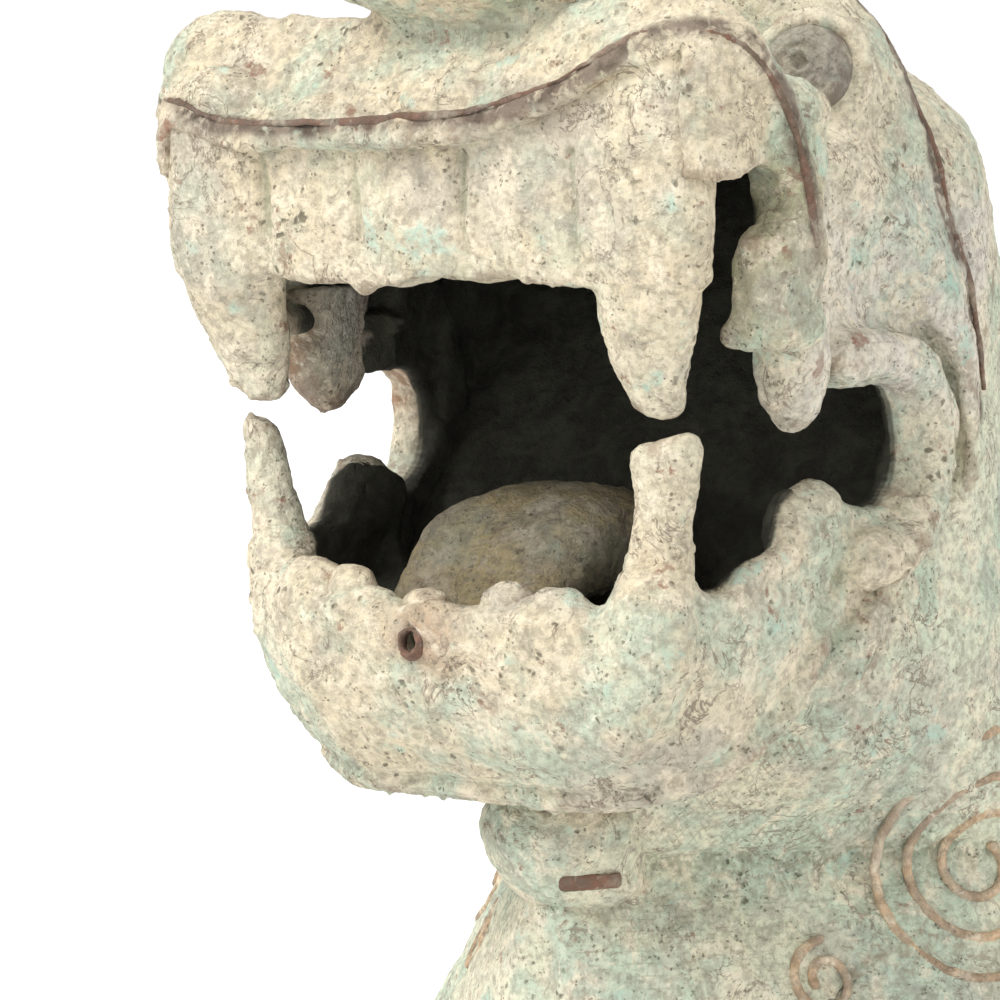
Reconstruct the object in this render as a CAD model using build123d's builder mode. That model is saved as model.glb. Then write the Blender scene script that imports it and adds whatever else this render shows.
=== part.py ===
from build123d import *
import os
from math import cos, hypot, pi, sin

# A guardian beast ("foo dog") in hollow-cast, patinated bronze, standing on four feet.
# It faces -Y, its left side is +X, and it stands on Z = 0, centred over the origin.

os.makedirs("parts", exist_ok=True)

# ---------------------------------------------------------------- driving dimensions, mm
WALL = 5.0                      # thickness of the cast wall
FIT = 0.25                      # gap round the patch under the belly
HEAD_Y, HEAD_Z = -115.0, 215.0  # middle of the two mouth corners

MUZZLE_HALF, MUZZLE_CORNER = 55.0, 18.0         # half width over the upper lip, corner radius
MUZZLE_FRONT, MUZZLE_BACK = -57.0, -20.0
BAND_LOW, LIP_LINE, MUZZLE_TOP = 35.5, 60.0, 73.0
BAND_HALF = 49.4                                # half width of the row of upper teeth
TOOTH_GROOVES = (-28.0, -10.6, 8.9, 28.0)
JAW_LIP, JAW_BOTTOM = -9.0, -44.0
GAPE_RADIUS, GAPE_CENTRE = 9.0, 10.0            # mouth corner: radius, height over HEAD_Z
CHEEK_HALF = 47.7                               # half width at the mouth corners
CHEEK_TOP = 21.0                                # height of the joint between head and cheeks
RIM_RADIUS = 3.6                                # roll round each mouth corner

BROW_RADIUS = 7.0                               # roll over the eye and down the cheek
BROW_ARC = [(14, -16, 70), (37, 6, 68), (45, 24, 18)]
EYE_RADIUS, EYE_HEIGHT, PUPIL_RADIUS = 6.6, 3.4, 1.35
EYE_SEAT = (38.2, -8.9, 64.9)
EYE_OUT = (0.66, -0.74, 0.12)                   # the way the eye looks
TUFT_CENTRE, TUFT_RADIUS = (0, -25, -55), 13.0

INLAY_WIDTH, INLAY_DEPTH = 1.8, 1.2
SPACER_RADIUS = 3.2
BELLY_HALF_WIDTH, BELLY_HALF_LENGTH = 17.0, 34.0
TAIL_RADIUS, TAIL_TIP = 8.0, (0, 134, 262)
PAW_WIDTH, PAW_LENGTH, PAW_HEIGHT = 39.0, 58.0, 24.0

# Stations of the casting: (y, z) of the underside, (y, z) of the back, half width, and how
# far the section narrows toward its underside.
NECK_JOINT = ((-20, -50), (45, 52), 46, 0.45)
HEAD_STATIONS = [  # these four are measured from the mouth corners
    NECK_JOINT,
    ((-34, -40), (24, 66), 48, 0.15),
    ((-42, -6), (-6, 72), 47, 0.0),
    ((-48, 30), (-28, 68), 44, 0.0),
]
TRUNK_STATIONS = [
    ((-135, 165), (-70, 267), 46, 0.45),
    ((-140, 138), (-54, 244), 46, 0.45),
    ((-132, 112), (-36, 222), 47, 0.25),
    ((-104, 97), (-12, 207), 50, 0.1),
    ((-60, 92), (14, 200), 50, 0.0),
    ((0, 93), (36, 197), 48, 0.0),
    ((60, 96), (68, 199), 49, 0.0),
    ((103, 106), (104, 203), 47, 0.0),
    ((124, 128), (126, 192), 33, 0.0),
    ((134, 148), (135, 174), 13, 0.0),
]
# Legs: (x, y, half width, half length) at each height, the ball of the joint, the paw's y.
LEG_HEIGHTS = [112, 82, 48, 12]
LEGS = {
    "front": {
        "levels": [(37, -94, 19, 26), (41, -98, 18, 21), (44, -103, 16, 17), (45, -104, 17, 19)],
        "ball": (25, -85, 110, 40),
        "paw": -113,
    },
    "rear": {
        "levels": [(38, 96, 19, 29), (42, 103, 17, 20), (44, 112, 14, 16), (45, 107, 16, 19)],
        "ball": (23, 90, 126, 43),
        "paw": 98,
    },
}
SIDES = {"left": 1, "right": -1}


# ---------------------------------------------------------------- shared shapes
def at_head(x, y, z):
    """A point that is given from the middle of the mouth corners."""
    return (x, HEAD_Y + y, HEAD_Z + z)


def cross_plane(low, high, shift=(0, 0)):
    """Plane across the casting through a point of its underside and one of its back."""
    middle = (0, (low[0] + high[0]) / 2 + shift[0], (low[1] + high[1]) / 2 + shift[1])
    return Plane(origin=middle, x_dir=(1, 0, 0), z_dir=(0, low[1] - high[1], high[0] - low[0]))


def casting_loft(stations, inset=0.0, shift=(0, 0)):
    """Closed loft through one egg-shaped section at each station, drawn in by the inset."""
    with BuildPart() as casting:
        for low, high, half_width, pinch in stations:
            half_height = hypot(high[0] - low[0], high[1] - low[1]) / 2 - inset
            width = half_width - inset
            side = [(0.64 * (1 - pinch), -0.766), (1 - 0.35 * pinch, 0), (0.66, 0.766)]
            right = [(width * across, half_height * up) for across, up in side]
            left = [(-across, up) for across, up in reversed(right)]
            with BuildSketch(cross_plane(low, high, shift)):
                with BuildLine():
                    Spline((0, -half_height), *right, (0, half_height), *left, periodic=True)
                make_face()
        loft()
    return casting.part


def jaw_bowl(inset=0.0):
    """The deep lower jaw: rounded rectangles that grow upward, from chin to lip."""
    levels = [(JAW_BOTTOM, 18, -42, -10), (-37, 33, -48, -2), (-22, 41, -51, 6), (2, 44, -51, 10)]
    with BuildPart() as bowl:
        for height, half, front, back in levels:
            lift = inset if height == JAW_BOTTOM else 0
            width, length = 2 * (half - inset), back - front - 2 * inset
            with BuildSketch(Plane.XY.offset(HEAD_Z + height + lift)):
                with Locations((0, HEAD_Y + (front + back) / 2)):
                    RectangleRounded(width, length, 0.42 * min(width, length))
        loft()
    return bowl.part


def muzzle_block(inset=0.0):
    """The square upper muzzle with its rounded front corners."""
    length = MUZZLE_BACK - MUZZLE_FRONT - inset
    middle = (MUZZLE_BACK + MUZZLE_FRONT + inset) / 2
    with BuildPart() as block:
        with BuildSketch(Plane.XY.offset(HEAD_Z + BAND_LOW)):
            with Locations((0, HEAD_Y + middle)):
                RectangleRounded(2 * (MUZZLE_HALF - inset), length, MUZZLE_CORNER - inset)
        extrude(amount=MUZZLE_TOP - BAND_LOW - inset)
        if inset == 0:
            fillet(block.edges().group_by(Axis.Z)[-1], 6.5)
    return block.part


def arc_pipe(points, radius, lift=0.0):
    """A round bar along the arc through three points, moved out from the arc's centre."""
    arc = Edge.make_three_point_arc(*[Vector(*point) for point in points])
    grow = 1 + lift / arc.radius
    moved = [arc.arc_center + (Vector(*point) - arc.arc_center) * grow for point in points]
    with BuildPart() as pipe:
        with BuildLine() as path:
            ThreePointArc(*moved)
        with BuildSketch(path.line ^ 0):
            Circle(radius)
        sweep()
    return pipe.part


def head_arc(points, side):
    """Three points of the left side of the head, put on the named side."""
    return [at_head(side * x, y, z) for x, y, z in points]


def level_loft(levels, corner):
    """Closed loft up through rounded rectangles: (x, y, width, depth, height) of each."""
    with BuildPart() as body:
        for x, y, width, depth, height in levels:
            with BuildSketch(Plane.XY.offset(HEAD_Z + height)):
                with Locations((x, HEAD_Y + y)):
                    RectangleRounded(width, depth, corner)
        loft()
    return body.part


def spiral_wire(plane, turns, outer, inner):
    """A flat spiral strip of the inlay's width, extruded 30 mm each way from its plane."""
    steps = round(turns * 12)
    edges = []
    for half in (INLAY_WIDTH / 2, -INLAY_WIDTH / 2):
        points = []
        for step in range(steps + 1):
            angle = 2 * pi * turns * step / steps
            radius = outer + (inner - outer) * step / steps + half
            points.append((radius * cos(angle), radius * sin(angle)))
        edges.append(points)
    with BuildPart() as wire:
        with BuildSketch(plane):
            with BuildLine():
                Spline(*edges[0])
                Line(edges[0][-1], edges[1][-1])
                Spline(*reversed(edges[1]))
                Line(edges[1][0], edges[0][0])
            make_face()
        extrude(amount=30, both=True)
    return wire.part


def finish_part(shape, name):
    shape.label = name
    export_step(shape, f"parts/{name}.step")


# ---------------------------------------------------------------- masses of the casting
neck_plane = cross_plane(*NECK_JOINT[:2], shift=(HEAD_Y, HEAD_Z))
skull_mass = casting_loft(HEAD_STATIONS, shift=(HEAD_Y, HEAD_Z))
skull_hollow = casting_loft(HEAD_STATIONS, WALL, (HEAD_Y, HEAD_Z))
muzzle_mass, muzzle_hollow = muzzle_block(), muzzle_block(WALL)
jaw_mass, jaw_hollow = jaw_bowl(), jaw_bowl(WALL)
brow_rolls = [arc_pipe(head_arc(BROW_ARC, side), BROW_RADIUS) for side in SIDES.values()]
trunk_mass = casting_loft(TRUNK_STATIONS)
trunk_hollow = casting_loft(TRUNK_STATIONS[:-1], WALL)

with BuildPart() as head_mass:
    add(skull_mass)
    add(muzzle_mass)
    for roll in brow_rolls:
        add(roll)
    for side in SIDES.values():
        # eye mount, nostril and the hanging lobe of the side lip
        with BuildSketch(Plane(origin=at_head(side * 32, -2, 63.8), z_dir=(side * EYE_OUT[0], *EYE_OUT[1:]))):
            Circle(EYE_RADIUS + 3)
        extrude(amount=10.5)
        with Locations(at_head(side * 9.5, -47, 80)):
            Sphere(10)
        with BuildSketch(Plane(origin=at_head(side * 50, -28, 35), z_dir=(side, 0, 0))):
            SlotCenterToCenter(12, 15, rotation=90)
        extrude(amount=4.5)
    # nose ridge from the nostrils back to the forehead
    with BuildSketch(Plane(origin=at_head(0, -47, 80), z_dir=(0, 1, -0.28))):
        Circle(11)
    extrude(amount=40)
    with Locations(at_head(0, -45, 80)):
        Sphere(12.5)
    split(bisect_by=neck_plane, keep=Keep.TOP)

with BuildPart() as gape:
    # side view of the open mouth, from its corners to in front of the lips
    lower_end, upper_end = (0, GAPE_CENTRE - GAPE_RADIUS), (0, GAPE_CENTRE + GAPE_RADIUS)
    with BuildSketch(Plane(origin=at_head(0, 0, 0), x_dir=(0, 1, 0), z_dir=(1, 0, 0))):
        with BuildLine():
            ThreePointArc(lower_end, (GAPE_RADIUS, GAPE_CENTRE), upper_end)
            Polyline(
                upper_end, (-13, 19), (-17, 27), (-39, 27), (-43, BAND_LOW), (-75, BAND_LOW),
                (-75, JAW_LIP), (-44, JAW_LIP), (-30, -5), (-12, 0), lower_end,
            )
        make_face()
    extrude(amount=70, both=True)

# ---------------------------------------------------------------- teeth
with BuildPart() as fangs:
    # upper fangs, that lean back from the ends of the row of teeth
    for side in SIDES.values():
        for x, y, width, depth, height in [
            (38.0, -45.5, 14, 9, 50), (38.2, -46.5, 15, 9, 36),
            (37.4, -44.5, 10.5, 7, 25), (36.8, -42.5, 7.5, 5, 17),
        ]:
            with BuildSketch(Plane.XY.offset(HEAD_Z + height)):
                with Locations((side * x, HEAD_Y + y)):
                    RectangleRounded(width, depth, 2.4)
        loft()

with BuildPart() as upper_teeth:
    # front plate below the lip line and its fangs, with grooves between the teeth
    add(muzzle_mass)
    add(muzzle_hollow, mode=Mode.SUBTRACT)
    with Locations(at_head(0, MUZZLE_FRONT, BAND_LOW)):
        Box(2 * BAND_HALF, 30, LIP_LINE - BAND_LOW, mode=Mode.INTERSECT,
            align=(Align.CENTER, Align.CENTER, Align.MIN))
    add(fangs.part)
    for x in TOOTH_GROOVES:
        with Locations(at_head(x, MUZZLE_FRONT, BAND_LOW)):
            Box(0.9, 2.4, 36, mode=Mode.SUBTRACT)
finish_part(upper_teeth.part, "upper_teeth")

side_teeth = []
for name, side in SIDES.items():
    # blunt tooth that hangs below the side lip
    upper_back = level_loft(
        [(side * 44.2, -21.5, 6, 13, 27), (side * 44.2, -21.5, 6, 12.5, 19), (side * 44.2, -22, 6, 8, 13.5)], 2.4
    )
    # stump that narrows to a waist and spreads again at its worn top
    lower_fang = level_loft(
        [(side * 34, -39.5, 12, 11, JAW_LIP), (side * 35.2, -40.5, 8, 7.5, 2), (side * 37.4, -42.4, 9.5, 6, 12)], 2.2
    )
    finish_part(upper_back, f"upper_back_tooth_{name}")
    finish_part(lower_fang, f"lower_fang_{name}")
    with BuildPart() as lower_back:
        # low lump on the side edge of the jaw
        with Locations(at_head(side * 41.5, -14, -1)):
            Sphere(6.5)
    finish_part(lower_back.part, f"lower_back_tooth_{name}")
    side_teeth += [upper_back, lower_fang, lower_back.part]

with BuildPart() as lower_incisors:
    # worn stubs on the front edge of the jaw
    for x in (-17, -3, 12):
        with Locations(at_head(x, -48, JAW_LIP)):
            Cylinder(4.2, 5.0, align=(Align.CENTER, Align.CENTER, Align.MIN))
    fillet(lower_incisors.faces().group_by(Axis.Z)[-1].edges(), 1.6)
finish_part(lower_incisors.part, "lower_incisors")

with BuildPart() as tongue:
    # arched plate that rises from the floor of the jaw
    floor = JAW_BOTTOM + WALL
    with BuildSketch(Plane(origin=at_head(0, 0, 0), x_dir=(0, 1, 0), z_dir=(1, 0, 0))):
        with BuildLine():
            ThreePointArc((-43, -9), (-20, 3), (0, -8))
            Polyline((0, -8), (-10, floor), (-17, floor), (-9, -12))
            ThreePointArc((-9, -12), (-20, -2.2), (-43, -12))
            Line((-43, -12), (-43, -9))
        make_face()
    extrude(amount=17, both=True)
    # round tip, seen from above
    with BuildSketch(Plane.XY.offset(HEAD_Z + JAW_BOTTOM)):
        with Locations((0, HEAD_Y - 12)):
            RectangleRounded(34, 62, 15)
    extrude(amount=60, mode=Mode.INTERSECT)
    add(trunk_mass, mode=Mode.SUBTRACT)
finish_part(tongue.part, "tongue")

# ---------------------------------------------------------------- inlays and eyes of the head
with BuildPart() as lip_inlay:
    # wire along the lower edge of the lip roll, round the front of the muzzle
    end = HEAD_Y + MUZZLE_BACK - 6
    front = HEAD_Y + MUZZLE_FRONT
    with BuildLine(Plane.XY.offset(HEAD_Z + LIP_LINE + 1.6)) as lip_path:
        FilletPolyline(
            (-MUZZLE_HALF, end), (-MUZZLE_HALF, front), (MUZZLE_HALF, front), (MUZZLE_HALF, end),
            radius=MUZZLE_CORNER,
        )
    with BuildSketch(lip_path.line ^ 0):
        Circle(INLAY_WIDTH / 2)
    sweep()
finish_part(lip_inlay.part, "lip_inlay")

face_inserts = [lip_inlay.part, upper_teeth.part]
for name, side in SIDES.items():
    brow_inlay = arc_pipe(head_arc(BROW_ARC, side), INLAY_WIDTH / 2, BROW_RADIUS)
    finish_part(brow_inlay, f"brow_inlay_{name}")
    eye_plane = Plane(origin=at_head(side * EYE_SEAT[0], *EYE_SEAT[1:]), z_dir=(side * EYE_OUT[0], *EYE_OUT[1:]))
    with BuildPart() as eye:
        # raised disc with a drilled pupil
        with BuildSketch(eye_plane):
            Circle(EYE_RADIUS)
        extrude(amount=EYE_HEIGHT)
        fillet(eye.edges().filter_by(GeomType.CIRCLE).sort_by_distance(eye_plane.origin)[-1], 1.5)
        with BuildSketch(eye_plane.offset(EYE_HEIGHT)):
            Circle(PUPIL_RADIUS)
        extrude(amount=-2, mode=Mode.SUBTRACT)
    finish_part(eye.part, f"eye_{name}")
    face_inserts += [brow_inlay, eye.part]

with BuildPart() as chin_spacer:
    with BuildSketch(Plane(origin=at_head(-2, -53, -18), z_dir=(0, 1, 0))):
        Circle(SPACER_RADIUS)
    extrude(amount=10)

# ---------------------------------------------------------------- head and lower jaw
reach = GAPE_RADIUS + 3
rim_arc = [(0, GAPE_CENTRE + reach), (reach, GAPE_CENTRE), (0, GAPE_CENTRE - reach)]
corner_rims = [
    arc_pipe([at_head(side * CHEEK_HALF, y, z) for y, z in rim_arc], RIM_RADIUS) for side in SIDES.values()
]

with BuildPart() as lower_jaw:
    add(jaw_mass)
    for hollow in (jaw_hollow, skull_hollow, gape.part, trunk_mass):
        add(hollow, mode=Mode.SUBTRACT)
    for insert in (chin_spacer.part, lower_incisors.part, tongue.part, *side_teeth):
        add(insert, mode=Mode.SUBTRACT)
finish_part(lower_jaw.part, "lower_jaw")

with BuildPart() as head:
    # skull, cheeks, brows and upper muzzle, open below and behind
    add(head_mass.part)
    for hollow in (skull_hollow, muzzle_hollow, gape.part):
        add(hollow, mode=Mode.SUBTRACT)
    for rim in corner_rims:
        add(rim)
    add(jaw_mass, mode=Mode.SUBTRACT)
    for side in SIDES.values():
        # slot between the fang and the side lip
        with Locations(at_head(side * MUZZLE_HALF, -41.5, 40)):
            Box(16, 8, 36, mode=Mode.SUBTRACT)
    for insert in (*face_inserts, *side_teeth):
        add(insert, mode=Mode.SUBTRACT)
# slivers in the tooth grooves and below the chin are left out of the casting
head_casting = head.part.solids().sort_by(SortBy.VOLUME)[-1]

# The casting is kept in three nodes: the top, and the cheeks, which are what is behind the jaw.
cheek_top = Plane.XY.offset(HEAD_Z + CHEEK_TOP)
with BuildPart() as head_top:
    add(head_casting)
    split(bisect_by=cheek_top, keep=Keep.TOP)
finish_part(head_top.part, "head")
for name, side in SIDES.items():
    with BuildPart() as cheek:
        add(head_casting)
        split(bisect_by=cheek_top, keep=Keep.BOTTOM)
        split(bisect_by=Plane(origin=(0, 0, 0), z_dir=(side, 0, 0)), keep=Keep.TOP)
    finish_part(cheek.part, f"cheek_{name}")

for name, side in SIDES.items():
    with BuildPart() as ear:
        # short upright ear with a scooped front
        for x, y, half_width, half_depth, height in [
            (20.5, 3, 8.5, 6.5, 60), (21, 5, 8.5, 6, 82), (22.5, 7.5, 6.5, 4.5, 97), (24, 9, 2.2, 1.8, 110),
        ]:
            with BuildSketch(Plane.XY.offset(HEAD_Z + height)):
                with Locations((side * x, HEAD_Y + y)):
                    Ellipse(half_width, half_depth)
        loft()
        with Locations(at_head(side * 26, -3, 96)):
            Sphere(8, mode=Mode.SUBTRACT)
        add(head_mass.part, mode=Mode.SUBTRACT)
    finish_part(ear.part, f"ear_{name}")

with BuildPart() as throat_tuft:
    with Locations(at_head(*TUFT_CENTRE)):
        Sphere(TUFT_RADIUS)
    for mass in (jaw_mass, head_casting, skull_hollow, trunk_mass):
        add(mass, mode=Mode.SUBTRACT)
finish_part(throat_tuft.part, "throat_tuft")

with BuildPart() as throat_band:
    # strip round the lower half of the tuft
    with Locations(at_head(*TUFT_CENTRE)):
        Sphere(TUFT_RADIUS + 0.9)
        Sphere(TUFT_RADIUS, mode=Mode.SUBTRACT)
    with Locations(at_head(0, -25, -59.5)):
        Box(40, 40, 3.4, mode=Mode.INTERSECT)
    for mass in (jaw_mass, head_casting, skull_hollow, trunk_mass):
        add(mass, mode=Mode.SUBTRACT)
finish_part(throat_band.part, "throat_band")

# ---------------------------------------------------------------- trunk and tail
with BuildPart() as trunk_shell:
    add(trunk_mass)
    add(trunk_hollow, mode=Mode.SUBTRACT)

with BuildPart() as belly_hole:
    with BuildSketch(Plane.XY.offset(80)):
        Ellipse(BELLY_HALF_WIDTH, BELLY_HALF_LENGTH)
    extrude(amount=30)

with BuildPart() as belly_plate:
    # patch of the same wall over the hole that the core was taken out through
    add(trunk_shell.part)
    with BuildSketch(Plane.XY.offset(80)):
        Ellipse(BELLY_HALF_WIDTH - FIT, BELLY_HALF_LENGTH - FIT)
    extrude(amount=30, mode=Mode.INTERSECT)
finish_part(belly_plate.part, "belly_plate")

with BuildPart() as spacer_rods:
    # copper spacers that held the core at an even distance from the mould
    for y in (-20, 44):
        with Locations((0, y, 150)):
            Cylinder(SPACER_RADIUS, 140, rotation=(0, 90, 0))

with BuildPart() as core_spacers:
    add(spacer_rods.part)
    add(trunk_shell.part, mode=Mode.INTERSECT)
    add(chin_spacer.part)
finish_part(core_spacers.part, "core_spacers")

trunk_under_skin = casting_loft(TRUNK_STATIONS, INLAY_DEPTH)
shoulder_inlays = []
for name, side in SIDES.items():
    # a large spiral on the shoulder and a small one below it, toward the chest
    outward = (side * 0.81, -0.588, 0)
    large = spiral_wire(Plane(origin=(side * 46, -83, 158), x_dir=(0, 0, 1), z_dir=outward), 2.6, 19, 3.2)
    small = spiral_wire(Plane(origin=(side * 36, -111, 142), x_dir=(0, 0, 1), z_dir=outward), 1.3, 6, 2.4)
    with BuildPart() as shoulder_inlay:
        add(large)
        add(small)
        add(trunk_mass, mode=Mode.INTERSECT)
        add(trunk_under_skin, mode=Mode.SUBTRACT)
    finish_part(shoulder_inlay.part, f"shoulder_inlay_{name}")
    shoulder_inlays.append(shoulder_inlay.part)

with BuildPart() as trunk:
    add(trunk_shell.part)
    for cut in (belly_hole.part, spacer_rods.part, *shoulder_inlays):
        add(cut, mode=Mode.SUBTRACT)
finish_part(trunk.part, "trunk")

with BuildPart() as tail:
    # stands up from the rump and curls forward
    with BuildLine() as tail_path:
        base = Line((0, 100, 178), (0, 136, 200))
        rise = TangentArc(base @ 1, (0, 164, 236), tangent=base % 1)
        curl = TangentArc(rise @ 1, TAIL_TIP, tangent=rise % 1)
    with BuildSketch(tail_path.line ^ 0):
        Circle(TAIL_RADIUS)
    sweep()
    with Locations(TAIL_TIP):
        Sphere(TAIL_RADIUS + 2)
    add(trunk_mass, mode=Mode.SUBTRACT)
finish_part(tail.part, "tail")


# ---------------------------------------------------------------- legs
def leg_limb(leg, side, inset=0.0):
    """Tapered limb from the ball of the joint down to the paw."""
    with BuildPart() as limb:
        for (x, y, half_width, half_length), height in zip(leg["levels"], LEG_HEIGHTS):
            with BuildSketch(Plane.XY.offset(height)):
                with Locations((side * x, y)):
                    Ellipse(half_width - inset, half_length - inset)
        loft()
    return limb.part


leg_cores = []
for place, leg in LEGS.items():
    ball_x, ball_y, ball_z, ball_radius = leg["ball"]
    for name, side in SIDES.items():
        ball_centre = (side * ball_x, ball_y, ball_z)
        limb, limb_hollow = leg_limb(leg, side), leg_limb(leg, side, WALL)
        inlay_cuts = []
        if place == "rear":
            haunch_plane = Plane(origin=(side * 60, ball_y, ball_z + 8), x_dir=(0, 0, 1), z_dir=(side, 0, 0))
            haunch_spiral = spiral_wire(haunch_plane, 2.6, 21, 3.2)
            with BuildPart() as haunch_inlay:
                add(haunch_spiral)
                with Locations(ball_centre):
                    Sphere(ball_radius, mode=Mode.INTERSECT)
                    Sphere(ball_radius - INLAY_DEPTH, mode=Mode.SUBTRACT)
            finish_part(haunch_inlay.part, f"haunch_inlay_{name}")
            inlay_cuts.append(haunch_inlay.part)
        with BuildPart() as leg_core:
            # baked clay that stayed in the leg
            add(limb_hollow)
            add(trunk_mass, mode=Mode.SUBTRACT)
        leg_cores.append(leg_core.part)
        with BuildPart() as paw:
            with BuildSketch(Plane.XY):
                with Locations((side * leg["levels"][-1][0], leg["paw"])):
                    RectangleRounded(PAW_WIDTH, PAW_LENGTH, 15)
            extrude(amount=PAW_HEIGHT)
            fillet(paw.edges().group_by(Axis.Z)[-1], 7)
        with BuildPart() as leg_casting:
            add(limb)
            with Locations(ball_centre):
                Sphere(ball_radius)
            add(paw.part)
            split(bisect_by=Plane(origin=(0, 0, 0), z_dir=(side, 0, 0)), keep=Keep.TOP)
            for cut in (trunk_mass, leg_core.part, *inlay_cuts):
                add(cut, mode=Mode.SUBTRACT)
        finish_part(leg_casting.part, f"leg_{place}_{name}")

with BuildPart() as leg_core_set:
    for core in leg_cores:
        add(core)
finish_part(leg_core_set.part, "leg_cores")
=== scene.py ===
"""Guardian beast in patinated bronze: the looks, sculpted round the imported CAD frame.

The castings are signed-distance sculptures: simple shapes are smoothly joined and cut on a
grid of cells, meshed through OpenVDB, roughened like a corroded surface, and painted by
vertex attributes that feed one procedural bronze material.
Lengths are millimetres until a mesh is made; the scene itself is in metres.
"""

import math

import bpy
import numpy as np
import openvdb
from mathutils import Euler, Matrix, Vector


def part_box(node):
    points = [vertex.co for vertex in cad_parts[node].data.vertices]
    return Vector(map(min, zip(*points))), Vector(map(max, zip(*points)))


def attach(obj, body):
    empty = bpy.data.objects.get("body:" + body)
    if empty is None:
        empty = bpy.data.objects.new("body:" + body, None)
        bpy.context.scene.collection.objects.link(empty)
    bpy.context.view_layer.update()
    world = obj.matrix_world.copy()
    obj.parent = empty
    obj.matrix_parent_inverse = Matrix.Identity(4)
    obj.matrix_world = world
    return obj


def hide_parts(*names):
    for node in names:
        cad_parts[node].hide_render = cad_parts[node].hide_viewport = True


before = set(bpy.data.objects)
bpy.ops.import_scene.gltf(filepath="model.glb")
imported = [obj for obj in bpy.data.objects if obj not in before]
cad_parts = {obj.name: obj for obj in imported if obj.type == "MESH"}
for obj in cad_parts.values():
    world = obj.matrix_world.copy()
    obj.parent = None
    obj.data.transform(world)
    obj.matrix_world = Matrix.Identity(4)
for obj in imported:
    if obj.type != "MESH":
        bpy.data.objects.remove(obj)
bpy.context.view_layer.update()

MM = 0.001
HEAD_CELL = 0.55
BODY_CELL = 0.9
FINE_CELL = 0.4
FAR = 99.0
HEAD = np.array([0.0, -115.0, 215.0])   # middle of the mouth corners
WALL = 4.5                              # thickness of the cast wall
SIDES = {"left": 1, "right": -1}
NECK_POINT, NECK_NORMAL = (0.0, 12.5, 1.0), (0.0, -0.843, 0.537)


# ------------------------------------------------------------------ signed-distance shapes
def at_head(x, y, z):
    """A point measured from the middle of the mouth corners, in the row frame."""
    return np.array([x, HEAD[1] + y, HEAD[2] + z])


def smooth_min(a, b, k):
    if k <= 0:
        return np.minimum(a, b)
    blend = np.maximum(k - np.abs(a - b), 0) / k
    return np.minimum(a, b) - blend * blend * (k / 4)


def smooth_max(a, b, k):
    return -smooth_min(-a, -b, k)


def smoothstep(low, high, value):
    t = np.clip((value - low) / (high - low), 0, 1)
    return t * t * (3 - 2 * t)


def ball(centre, radii):
    """An ellipsoid: (lowest corner, highest corner, distance function)."""
    centre = np.array(centre, float)
    radii = np.broadcast_to(np.array(radii, float), 3)

    def distance(x, y, z):
        x, y, z = x - centre[0], y - centre[1], z - centre[2]
        if np.ptp(radii) < 1e-6:
            return np.sqrt(x * x + y * y + z * z) - radii[0]
        near = np.sqrt((x / radii[0]) ** 2 + (y / radii[1]) ** 2 + (z / radii[2]) ** 2)
        steep = np.sqrt((x / radii[0] ** 2) ** 2 + (y / radii[1] ** 2) ** 2 + (z / radii[2] ** 2) ** 2)
        return near * (near - 1) / np.maximum(steep, 1e-6)

    return centre - radii, centre + radii, distance


def block(centre, half, radius, turn=(0, 0, 0)):
    """A box with rounded edges, turned by Euler angles in degrees."""
    centre, half = np.array(centre, float), np.array(half, float)
    axes = np.array(Euler([math.radians(a) for a in turn]).to_matrix())
    reach = np.abs(axes) @ half

    def distance(x, y, z):
        x, y, z = x - centre[0], y - centre[1], z - centre[2]
        total, inner = 0, None
        for i in range(3):
            if any(turn):
                along = x * axes[0, i] + y * axes[1, i] + z * axes[2, i]
            else:
                along = (x, y, z)[i]
            q = np.abs(along) - (half[i] - radius)
            total = total + np.maximum(q, 0) ** 2
            inner = q if inner is None else np.maximum(inner, q)
        return np.sqrt(total) + np.minimum(inner, 0) - radius

    return centre - reach, centre + reach, distance


def curve_points(points, spans=5):
    """A smooth line through the points (Catmull-Rom); any further columns are carried along."""
    points = np.array(points, float)
    ends = np.vstack([2 * points[0] - points[1], points, 2 * points[-1] - points[-2]])
    line = []
    for a, b, c, d in zip(ends, ends[1:], ends[2:], ends[3:]):
        for t in np.arange(spans) / spans:
            line.append(0.5 * (2 * b + (c - a) * t + (2 * a - 5 * b + 4 * c - d) * t ** 2
                               + (3 * b - a - 3 * c + d) * t ** 3))
    return np.array(line + [points[-1]])


def tube(points, radius=None, spans=5, squash=(1, 1, 1)):
    """A round bar along a smooth line; each point may carry its own radius as a fourth number.

    A squash above 1 thins the bar along that axis.
    """
    line = curve_points(points, spans)
    radii = line[:, 3] if line.shape[1] > 3 else np.full(len(line), float(radius))
    line = line[:, :3]
    squash = np.array(squash, float)
    reach = radii.max() + 9

    def distance(x, y, z):
        best = np.full(np.broadcast_shapes(x.shape, y.shape, z.shape), FAR, np.float32)
        for a, b, ra, rb in zip(line, line[1:], radii, radii[1:]):
            low, high = np.minimum(a, b) - reach / squash, np.maximum(a, b) + reach / squash
            cuts = tuple(slice(*np.searchsorted(axis.ravel(), (lo, hi)))
                         for axis, lo, hi in zip((x, y, z), low, high))
            if any(cut.stop <= cut.start for cut in cuts):
                continue
            px, py, pz = x[cuts[0]] - a[0], y[:, cuts[1]] - a[1], z[:, :, cuts[2]] - a[2]
            px, py, pz = px * squash[0], py * squash[1], pz * squash[2]
            step = (b - a) * squash
            t = np.clip((px * step[0] + py * step[1] + pz * step[2]) / max(step @ step, 1e-6), 0, 1)
            away = np.sqrt((px - t * step[0]) ** 2 + (py - t * step[1]) ** 2 + (pz - t * step[2]) ** 2)
            best[cuts] = np.minimum(best[cuts], away - ra - t * (rb - ra))
        return best

    margin = radii.max() / squash
    return line.min(0) - margin, line.max(0) + margin, distance


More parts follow.
